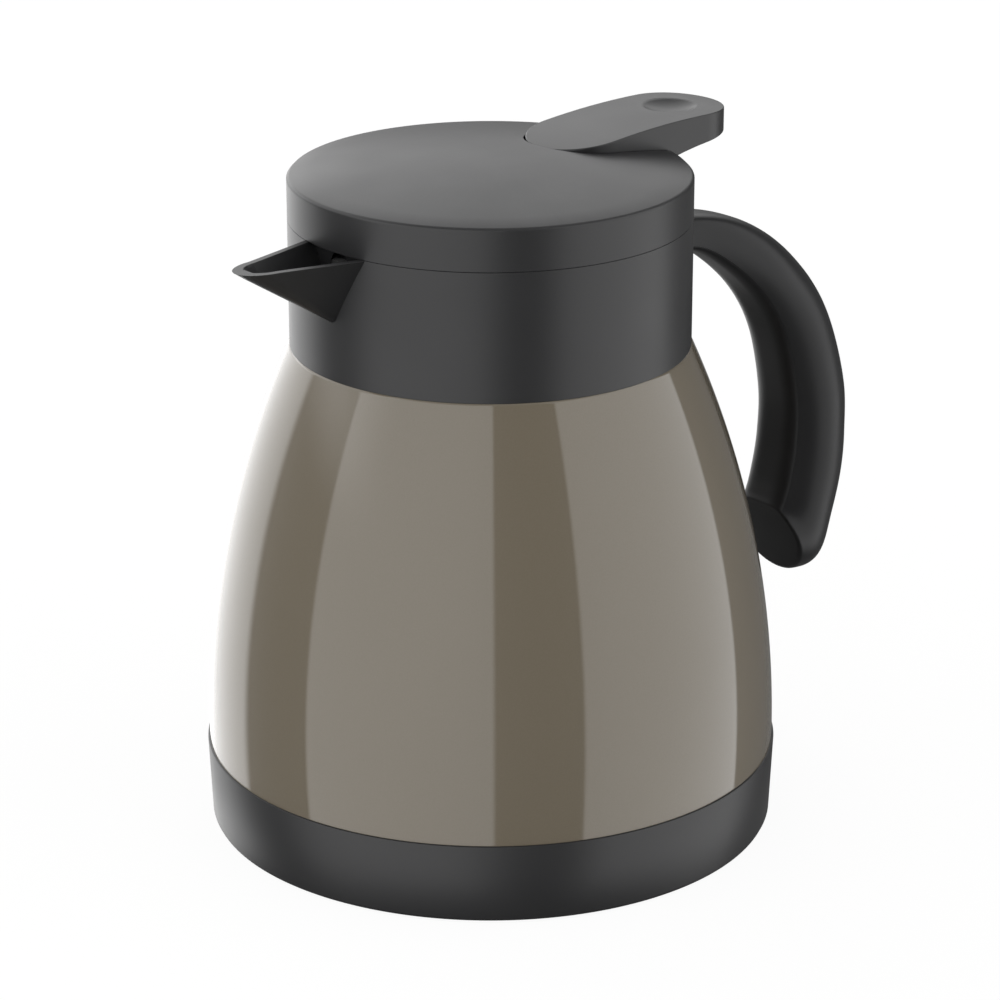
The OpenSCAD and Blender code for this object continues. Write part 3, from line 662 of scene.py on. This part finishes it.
@dataclass
class BaseBand:
    """The black cup that the shell stands in, and the rubber pad below it.

    Attributes:
        radius: Radius at the band's top edge.
        foot_r: Radius at its lower edge.
        height: Height of its top edge.
        rim: Rounding of the top edge.
        rim_bend: Share of that rounding at its middle corner.
        heel: Rounding of the lower edge.
        heel_bend: Shares of that rounding at its middle corner, inwards and upwards.
        bore_r: Radius of the room for the shell's skirt.
        ledge_r: Inner radius of the ledge that carries the skirt.
        ledge_z: Height of that ledge.
        floor_z: Height of the floor's upper side.
        pad_r: Radius of the pad.
        pad_gap: Gap round the pad.
        pad_edge: Chamfer of the pad's lower edge.
        pad_top_z: Height of the pad's upper side.
        proud: How far the pad stands out below the cup.
        groove_r: Radii of the pad's grooves.
        groove: Width and depth of a groove.
        groove_slope: How far each of a groove's walls leans.
    """

    radius: float = 70.0
    foot_r: float = 69.2
    height: float = 20.0
    rim: float = 0.4
    rim_bend: float = 0.3
    heel: float = 1.0
    heel_bend: tuple[float, float] = (0.35, 0.3)
    bore_r: float = 66.0
    ledge_r: float = 62.8
    ledge_z: float = 6.0
    floor_z: float = 4.2
    pad_r: float = 61.0
    pad_gap: float = 0.1
    pad_edge: float = 0.3
    pad_top_z: float = 1.8
    proud: float = 0.3
    groove_r: tuple[float, ...] = (22.0, 34.0, 46.0, 55.0)
    groove: tuple[float, float] = (1.4, 0.7)
    groove_slope: float = 0.25

    def cup_outline(self) -> list[tuple[float, float]]:
        """Closed outline of the cup."""
        seat_r = self.pad_r + self.pad_gap
        inwards, upwards = (share * self.heel for share in self.heel_bend)
        bend = self.rim_bend * self.rim
        return [
            (0, self.pad_top_z),
            (seat_r, self.pad_top_z),
            (seat_r, self.proud),
            (self.foot_r - self.heel, self.proud),
            (self.foot_r - inwards, self.proud + upwards),
            (self.foot_r, self.proud + self.heel),
            (self.radius, self.height - self.rim),
            (self.radius - bend, self.height - bend),
            (self.radius - self.rim, self.height),
            (self.bore_r, self.height),
            (self.bore_r, self.ledge_z),
            (self.ledge_r, self.ledge_z),
            (self.ledge_r, self.floor_z),
            (0, self.floor_z),
        ]

    def pad_outline(self) -> list[tuple[float, float]]:
        """Closed outline of the pad, with round grooves in its underside."""
        width, depth = self.groove
        under: list[tuple[float, float]] = [(0, 0)]
        for radius in self.groove_r:
            under += [
                (radius - width / 2, 0),
                (radius - width / 2 + self.groove_slope, depth),
                (radius + width / 2 - self.groove_slope, depth),
                (radius + width / 2, 0),
            ]
        return [
            *under,
            (self.pad_r - self.pad_edge, 0),
            (self.pad_r, self.pad_edge),
            (self.pad_r, self.pad_top_z),
            (0, self.pad_top_z),
        ]

    def build(self, wardrobe: Wardrobe) -> list[bpy.types.Object]:
        """Builds and dresses the cup and the pad.

        Args:
            wardrobe: The finishes.

        Returns:
            Both pieces.
        """
        cup = spin_solid(self.cup_outline(), "base_band")
        wardrobe.dress(cup, Slot.BLACK_PLASTIC)
        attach(cup, Body.JUG.value)
        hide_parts("base_cup")
        pad = spin_solid(self.pad_outline(), "grooved_foot_pad", steps=160)
        wardrobe.dress(pad, Slot.RUBBER)
        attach(pad, Body.JUG.value)
        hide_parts("foot_pad")
        return [cup, pad]


@dataclass
class SoftEdged:
    """A moulding whose form is its CAD node's, with its edges rounded as a mould leaves them.

    Attributes:
        node: The CAD node.
        name: Name of the new piece.
        body: The body it rides on.
        rounding: How its edges are rounded.
        wall_r: Radius of its round wall, or 0.
        seam_z: Height of the flat side that faces the seam between collar and lid.
        seam_shift: How far that side is moved, so that the seam is a fine line.
    """

    node: str
    name: str
    body: Body
    rounding: Rounding
    wall_r: float = 0.0
    seam_z: float = 0.0
    seam_shift: float = 0.0

    def build(self, frame: dict[str, Any], wardrobe: Wardrobe) -> bpy.types.Object:
        """Builds and dresses the moulding.

        Args:
            wardrobe: The finishes.

        Returns:
            The moulding.
        """
        bm = bmesh.new()
        bm.from_mesh(frame["nodes"][self.node].data)
        bmesh.ops.remove_doubles(bm, verts=bm.verts, dist=NODE_WELD)
        bmesh.ops.dissolve_degenerate(bm, dist=NODE_WELD, edges=bm.edges)
        bmesh.ops.dissolve_limit(bm, angle_limit=math.radians(FLAT_DEG), verts=bm.verts, edges=bm.edges)
        # A flat rim that runs all the way round would be filled across its opening
        rims = [face for face in bm.faces if len(face.verts) > MOST_CORNERS]
        bmesh.ops.triangulate(bm, faces=rims)
        if self.seam_shift:
            level = [vert for vert in bm.verts if abs(vert.co.z - self.seam_z * MM) < NEAR]
            bmesh.ops.translate(bm, vec=(0, 0, self.seam_shift * MM), verts=level)
        self.rounding.mark(bm)
        piece = finish_mesh(bm, self.name, sharp_deg=self.rounding.angle_deg)
        self.rounding.apply(piece)
        even_normals(piece.data, self.wall_r, self.rounding.angle_deg)
        wardrobe.dress(piece, Slot.BLACK_PLASTIC)
        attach(piece, self.body.value)
        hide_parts(self.node)
        return piece


@dataclass(frozen=True)
class Section:
    """One cross-section of the handle.

    Attributes:
        reach: Share of the reach.
        drop: Share of the drop.
        direction: Direction of its depth in degrees.
        depth: Share of the greatest depth.
        width: Share of the greatest width.
        boxiness: 2 for a round back, more for a flat one.
    """

    reach: float
    drop: float
    direction: float
    depth: float
    width: float
    boxiness: float

    def values(self) -> tuple[float, ...]:
        """All six as plain numbers."""
        return self.reach, self.drop, self.direction, self.depth, self.width, self.boxiness


# From the collar to the lower end, in the order of the fields above
HANDLE_SECTIONS = (
    Section(0.000, 0.000, 90, 0.319, 0.555, 4.0),
    Section(0.295, 0.018, 75, 0.339, 0.555, 4.0),
    Section(0.544, 0.110, 52, 0.488, 0.639, 2.7),
    Section(0.767, 0.242, 39, 0.602, 0.756, 1.9),
    Section(0.919, 0.402, 22, 0.707, 0.840, 1.9),
    Section(1.001, 0.613, 5, 0.795, 0.908, 1.9),
    Section(1.002, 0.770, -4, 0.823, 0.941, 1.9),
    Section(0.968, 0.897, -35, 0.888, 0.975, 1.9),
    Section(0.936, 0.964, -53, 0.976, 0.990, 1.9),
    Section(0.916, 0.994, -71, 0.777, 0.984, 2.0),
)


@dataclass
class Handle:
    """The hanging handle: a hollow grip and the strip that closes its inner side.

    Attributes:
        root_r: Radius of the collar, where the handle starts.
        root_z: Height of its inner side there.
        reach: Reach of the inner side beyond the collar.
        drop: Drop of the inner side.
        depth: Greatest depth of a section.
        width: Greatest width.
        face: Width of the flat inner side.
        strip: Thickness of the strip.
        gap: Gap between strip and grip.
        crease: Width and depth of the rounding along the inner side's edges.
        tip_r: Rounding round the end face.
        tip_share: Share of the handle that this rounding takes.
        face_bend: Share of that rounding by which the inner side bends back.
        widest: Share of the depth at which a section is widest.
        start: Place of the first section, inside the collar's wall.
        rings: Cross-sections along the handle.
        end_rings: Cross-sections round the end face.
        flank_steps: Facets from the strip to the widest place.
        back_steps: Facets from there to the crest.
        crease_steps: Facets across the rounding of the strip's edge.
    """

    root_r: float = 48.0
    root_z: float = 132.8
    reach: float = 47.7
    drop: float = 76.4
    depth: float = 27.0
    width: float = 23.8
    face: float = 12.5
    strip: float = 1.6
    gap: float = 0.03
    crease: tuple[float, float] = (4.0, 1.5)
    tip_r: float = 1.2
    tip_share: float = 0.015
    face_bend: float = 0.3
    widest: float = 0.45
    start: float = -0.012
    rings: int = 110
    end_rings: int = 6
    flank_steps: int = 10
    back_steps: int = 18
    crease_steps: int = 8

    def row(self, index: int) -> tuple[float, ...]:
        """A row of the table, with one more in line at each end."""
        rows = [section.values() for section in HANDLE_SECTIONS]
        if index < 0:
            return tuple(2 * a - b for a, b in zip(rows[0], rows[1]))
        if index >= len(rows):
            return tuple(2 * a - b for a, b in zip(rows[-1], rows[-2]))
        return rows[index]

    def section(self, along: float) -> Section:
        """The section at a place from 0 to 1, smoothly between the table's rows.

        Args:
            along: Place along the handle.

        Returns:
            The section there.
        """
        place = along * (len(HANDLE_SECTIONS) - 1)
        index = max(0, min(math.floor(place), len(HANDLE_SECTIONS) - 2))
        u = place - index
        four = [self.row(index + k) for k in (-1, 0, 1, 2)]
        return Section(
            *(
                0.5
                * (
                    2 * b
                    + (c - a) * u
                    + (2 * a - 5 * b + 4 * c - d) * u * u
                    + (3 * b - a - 3 * c + d) * u * u * u
                )
                for a, b, c, d in zip(*four)
            )
        )

    def flank(self, section: Section, depth: float) -> float:
        """Half width of a section between its inner side and its widest place.

        Args:
            section: The section.
            depth: Depth in millimetres from the inner side.

        Returns:
            Half width in millimetres.
        """
        wide = section.width * self.width / 2
        middle = self.widest * section.depth * self.depth
        return self.face / 2 + (wide - self.face / 2) * math.sin(math.pi / 2 * min(1.0, depth / middle))

    def grip_half(self, section: Section, inset: float) -> list[tuple[float, float]]:
        """Depth and half width along one side of the grip, from the strip to the crest."""
        full = section.depth * self.depth
        middle = self.widest * full
        power = 2 / section.boxiness
        wide = section.width * self.width / 2 - inset
        shares = [k / self.flank_steps for k in range(self.flank_steps)]
        depths = [self.strip + (middle - self.strip) * share for share in shares]
        half = [(depth, self.flank(section, depth) - inset) for depth in depths]
        for k in range(self.back_steps):
            turn = math.pi / 2 * k / self.back_steps
            back = (full - middle - inset) * math.sin(turn) ** power
            half.append((middle + back, wide * math.cos(turn) ** power))
        return [*half, (full - inset, 0.0)]

    def strip_half(self, section: Section, inset: float) -> list[tuple[float, float]]:
        """Depth and half width along one side of the strip, with its rounded edge first."""
        width, deep = self.crease
        corner = self.flank(section, 0)
        wide = self.flank(section, deep)
        half: list[tuple[float, float]] = []
        for k in range(self.crease_steps + 1):
            u = k / self.crease_steps
            depth = u * u * deep
            across = (1 - u) ** 2 * (corner - width) + 2 * u * (1 - u) * corner + u * u * wide
            lift = self.face_bend * inset * (1 - depth / self.strip)
            half.append((depth + lift, across - inset))
        top = self.strip - self.gap
        return [*half, (top, self.flank(section, top) - inset)]

    def loop(self, along: float, inset: float, is_grip: bool) -> list[Vector]:
        """Points round the grip or the strip at one place.

        Args:
            along: Place along the handle.
            inset: How far the outline is drawn in, in millimetres.
            is_grip: True for the grip, False for the strip.

        Returns:
            The points in space, in metres.
        """
        section = self.section(along)
        half = self.grip_half(section, inset) if is_grip else self.strip_half(section, inset)
        around = half + [(depth, -across) for depth, across in reversed(half) if across > 0]
        x = self.root_r + section.reach * self.reach
        z = self.root_z - section.drop * self.drop
        turn = math.radians(section.direction)
        return [
            Vector(((x + depth * math.cos(turn)), across, (z + depth * math.sin(turn)))) * MM
            for depth, across in around
        ]

    def places(self) -> list[tuple[float, float]]:
        """Place and inset of every ring; the last ones draw in round the end face."""
        body_end = 1 - self.tip_share
        rings = [(self.start + (body_end - self.start) * k / self.rings, 0.0) for k in range(self.rings + 1)]
        for k in range(1, self.end_rings + 1):
            turn = math.pi / 2 * k / self.end_rings
            rings.append((body_end + self.tip_share * math.sin(turn), self.tip_r * (1 - math.cos(turn))))
        return rings

    def loft(self, name: str, is_grip: bool) -> bpy.types.Object:
        """Bridges the rings into a closed solid.

        Args:
            name: Name of the object.
            is_grip: True for the grip, False for the strip.

        Returns:
            The solid.
        """
        bm = bmesh.new()
        previous: list[bmesh.types.BMEdge] = []
        ends: list[list[bmesh.types.BMVert]] = []
        for along, inset in self.places():
            points = self.loop(along, inset, is_grip)
            ring = bmesh.ops.create_circle(bm, cap_ends=False, radius=MM, segments=len(points))["verts"]
            for vert, point in zip(ring, points):
                vert.co = point
            edges = list({edge for vert in ring for edge in vert.link_edges})
            if previous:
                bmesh.ops.bridge_loops(bm, edges=previous + edges)
            ends.append(list(ring))
            previous = edges
        bm.faces.new(ends[0])
        bm.faces.new(ends[-1])
        bmesh.ops.recalc_face_normals(bm, faces=bm.faces)
        return finish_mesh(bm, name, sharp_deg=38)

    def build(self, wardrobe: Wardrobe) -> list[bpy.types.Object]:
        """Builds and dresses the grip and its strip.

        Args:
            wardrobe: The finishes.

        Returns:
            Both pieces.
        """
        pieces = []
        for name, node, is_grip in (
            ("handle_grip", "handle_shell", True),
            ("handle_strip", "handle_cover", False),
        ):
            piece = self.loft(name, is_grip)
            # The darker copy of the black plastic paints shade on the handle
            wardrobe.dress(piece, Slot.BLACK_PLASTIC, wardrobe.grip)
            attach(piece, Body.JUG.value)
            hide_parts(node)
            pieces.append(piece)
        return pieces


@dataclass(frozen=True)
class Panel:
    """A tall soft box round the object, as the studio's world shows it.

    Attributes:
        low_deg: Bearing of its first edge, counted from +X towards +Y.
        high_deg: Bearing of its second edge.
        level: Its brightness.
        soft_deg: Width of its soft edge.
        foot: Sine of the height at which it starts.
        top: Sine of the height at which it ends.
        fade: Half the width of its soft foot and top.
    """

    low_deg: float
    high_deg: float
    level: float
    soft_deg: float = 2.5
    foot: float = -2.0
    top: float = 2.0
    fade: float = 0.12

    def mask(
        self, tree: bpy.types.NodeTree, bearing: bpy.types.NodeSocket, height: bpy.types.NodeSocket
    ) -> bpy.types.NodeSocket:
        """How much of the panel a direction shows, from 0 to its level.

        Args:
            tree: The world's node tree.
            bearing: The level unit vector of a direction.
            height: The sine of that direction's height.

        Returns:
            The output that holds it.
        """
        middle = math.radians((self.low_deg + self.high_deg) / 2)
        half = (self.high_deg - self.low_deg) / 2
        facing = add_node(
            tree,
            "ShaderNodeVectorMath",
            {0: bearing, 1: (math.cos(middle), math.sin(middle), 0.0)},
            operation="DOT_PRODUCT",
        )
        across = {
            "Value": facing.outputs["Value"],
            "From Min": math.cos(math.radians(half + self.soft_deg / 2)),
            "From Max": math.cos(math.radians(half - self.soft_deg / 2)),
            "To Max": self.level,
        }
        above = {"Value": height, "From Min": self.foot - self.fade, "From Max": self.foot + self.fade}
        below = {
            "Value": height,
            "From Min": self.top - self.fade,
            "From Max": self.top + self.fade,
            "To Min": 1.0,
            "To Max": 0.0,
        }
        shares = [
            add_node(tree, "ShaderNodeMapRange", limits, interpolation_type="SMOOTHSTEP").outputs["Result"]
            for limits in (across, above, below)
        ]
        upright = add_node(tree, "ShaderNodeMath", {0: shares[1], 1: shares[2]}, operation="MULTIPLY")
        return add_node(
            tree, "ShaderNodeMath", {0: shares[0], 1: upright.outputs["Value"]}, operation="MULTIPLY"
        ).outputs["Value"]


@dataclass(frozen=True)
class Viewpoint:
    """The place and direction of the photograph's camera.

    Attributes:
        lens_mm: Focal length.
        sensor_mm: Width of the sensor.
        bearing_deg: Bearing of its place, counted from +X towards +Y.
        away_m: Level distance from the jug's axis.
        height_m: Height above the table.
        pitch_deg: How far it looks down.
        yaw_deg: How far it looks past the axis, to its right.
    """

    lens_mm: float = 135.0
    sensor_mm: float = 36.0
    bearing_deg: float = 229.65
    away_m: float = 0.8532
    height_m: float = 0.3968
    pitch_deg: float = 20.4
    yaw_deg: float = 0.152

    def matrix(self) -> Matrix:
        """Works out the camera's place and turn.

        Returns:
            Its world matrix.
        """
        bearing = math.radians(self.bearing_deg)
        pitch = math.radians(self.pitch_deg)
        yaw = math.radians(self.yaw_deg)
        place = Vector((self.away_m * math.cos(bearing), self.away_m * math.sin(bearing), self.height_m))
        inward = Vector((-math.cos(bearing), -math.sin(bearing), 0))
        right = Vector((0, 0, 1)).cross(inward) * -1
        level = inward * math.cos(yaw) + right * math.sin(yaw)
        forward = level * math.cos(pitch) - Vector((0, 0, 1)) * math.sin(pitch)
        side = forward.cross(Vector((0, 0, 1))).normalized()
        turn = Matrix((side, side.cross(forward), -forward)).transposed()
        return Matrix.Translation(place) @ turn.to_4x4()


@dataclass
class Studio:
    """Floor, world and camera.

    Attributes:
        viewpoint: Where the camera stands.
        panels: Soft boxes that stand round the object.
        gap_level: Brightness between them.
        ceiling_level: Brightness overhead.
        panel_top: Sine of the height at which the panels end.
        ceiling_fade: Half the width of the change from panels to ceiling.
        floor_m: Half the side of the floor.
        floor_share: Share of the floor's own white against the light that falls on it.
    """

    viewpoint: Viewpoint = Viewpoint()
    panels: tuple[Panel, ...] = (
        # The two tall boxes in front
        Panel(151.2, 230.95, 2.3, foot=-0.6, fade=0.15),
        Panel(267.0, 346.9, 2.3, foot=-0.6, fade=0.15),
        # The low box behind, and the soft wash above it
        Panel(57.0, 113.2, 2.25, soft_deg=6.0, foot=-0.57, top=0.3, fade=0.05),
        Panel(30.0, 155.0, 1.9, soft_deg=50.0, foot=0.18, fade=0.1),
    )
    gap_level: float = 0.2
    ceiling_level: float = 0.8
    panel_top: float = 0.78
    ceiling_fade: float = 0.1
    floor_m: float = 6.0
    floor_share: float = 0.93

    def build_world(self) -> None:
        """Makes the world: white for the camera, soft boxes for light and gloss."""
        world = bpy.data.worlds.new("studio")
        bpy.context.scene.world = world
        world.use_nodes = True
        tree = world.node_tree
        tree.nodes.clear()
        direction = add_node(tree, "ShaderNodeTexCoord").outputs["Generated"]
        parts = add_node(tree, "ShaderNodeSeparateXYZ", {"Vector": direction})
        flat = add_node(tree, "ShaderNodeCombineXYZ", {"X": parts.outputs["X"], "Y": parts.outputs["Y"]})
        bearing = add_node(
            tree, "ShaderNodeVectorMath", {0: flat.outputs["Vector"]}, operation="NORMALIZE"
        ).outputs["Vector"]
        level: bpy.types.NodeSocket | float = self.gap_level
        for panel in self.panels:
            level = add_node(
                tree,
                "ShaderNodeMath",
                {0: level, 1: panel.mask(tree, bearing, parts.outputs["Z"])},
                operation="ADD",
            ).outputs["Value"]
        high = add_node(
            tree,
            "ShaderNodeMapRange",
            {
                "Value": parts.outputs["Z"],
                "From Min": self.panel_top - self.ceiling_fade,
                "From Max": self.panel_top + self.ceiling_fade,
            },
            interpolation_type="SMOOTHSTEP",
        )
        shown = add_node(
            tree, "ShaderNodeMix", {"Factor": high.outputs["Result"], "A": level, "B": self.ceiling_level}
        )
        room = add_node(tree, "ShaderNodeBackground", {"Strength": shown.outputs["Result"]})
        white = add_node(tree, "ShaderNodeBackground", {"Strength": 1.0})
        path = add_node(tree, "ShaderNodeLightPath")
        seen = add_node(
            tree,
            "ShaderNodeMath",
            {0: path.outputs["Is Camera Ray"], 1: path.outputs["Is Transmission Ray"]},
            operation="MAXIMUM",
        )
        both = add_node(
            tree,
            "ShaderNodeMixShader",
            {0: seen.outputs["Value"], 1: room.outputs["Background"], 2: white.outputs["Background"]},
        )
        add_node(tree, "ShaderNodeOutputWorld", {"Surface": both.outputs["Shader"]})

    def build_floor(self) -> bpy.types.Object:
        """Makes the pale floor, which keeps the object's soft shadow.

        Returns:
            The floor.
        """
        bm = bmesh.new()
        bmesh.ops.create_grid(bm, x_segments=1, y_segments=1, size=self.floor_m)
        floor = finish_mesh(bm, "floor")
        paper = bpy.data.materials.new("white_paper_floor")
        paper.use_nodes = True
        tree = paper.node_tree
        tree.nodes.clear()
        lit = add_node(tree, "ShaderNodeBsdfDiffuse", {"Color": linear("#F7F7F6")})
        white = add_node(tree, "ShaderNodeEmission", {"Strength": 1.0})
        path = add_node(tree, "ShaderNodeLightPath")
        seen = add_node(
            tree,
            "ShaderNodeMath",
            {0: path.outputs["Is Camera Ray"], 1: path.outputs["Is Transmission Ray"]},
            operation="MAXIMUM",
        )
        share = add_node(
            tree, "ShaderNodeMath", {0: seen.outputs["Value"], 1: self.floor_share}, operation="MULTIPLY"
        )
        both = add_node(
            tree,
            "ShaderNodeMixShader",
            {0: share.outputs["Value"], 1: lit.outputs["BSDF"], 2: white.outputs["Emission"]},
        )
        add_node(tree, "ShaderNodeOutputMaterial", {"Surface": both.outputs["Shader"]})
        floor.data.materials.append(paper)
        # The gloss shows the soft boxes down to the table, as in a tent
        floor.visible_glossy = False
        return floor

    def build_camera(self) -> None:
        """Makes the camera at the photograph's viewing angle."""
        data = bpy.data.cameras.new("camera")
        data.lens = self.viewpoint.lens_mm
        data.sensor_width = self.viewpoint.sensor_mm
        camera = bpy.data.objects.new("camera", data)
        bpy.context.scene.collection.objects.link(camera)
        camera.matrix_world = self.viewpoint.matrix()
        bpy.context.scene.camera = camera

    def build(self) -> None:
        """Makes everything that isn't part of the object."""
        self.build_world()
        self.build_floor()
        self.build_camera()
        bpy.context.scene.view_settings.view_transform = "Standard"


MOULDINGS = (
    SoftEdged(
        "collar",
        "collar_and_spout",
        Body.JUG,
        Rounding(0.12),
        wall_r=48.0,
        seam_z=151.45,
        seam_shift=0.12,
    ),
    SoftEdged(
        "lid_cap",
        "domed_lid",
        Body.LID,
        Rounding(0.12, angle_deg=50.0),
        wall_r=48.0,
        seam_z=151.75,
        seam_shift=-0.12,
    ),
    SoftEdged("lever", "thumb_lever", Body.LEVER, Rounding(0.28)),
)


def main() -> None:
    """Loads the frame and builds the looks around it."""
    logging.basicConfig(level=logging.INFO, format="%(name)s: %(message)s")
    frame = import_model()
    Studio().build()
    wardrobe = Wardrobe()
    wardrobe.dress_frame(frame)
    pieces = [SteelShell().build(wardrobe)]
    pieces += BaseBand().build(wardrobe)
    pieces += Handle().build(wardrobe)
    pieces += [moulding.build(frame, wardrobe) for moulding in MOULDINGS]
    for piece in pieces:
        LOG.info("%s has %d faces", piece.name, len(piece.data.polygons))


if __name__ == "__main__":
    main()
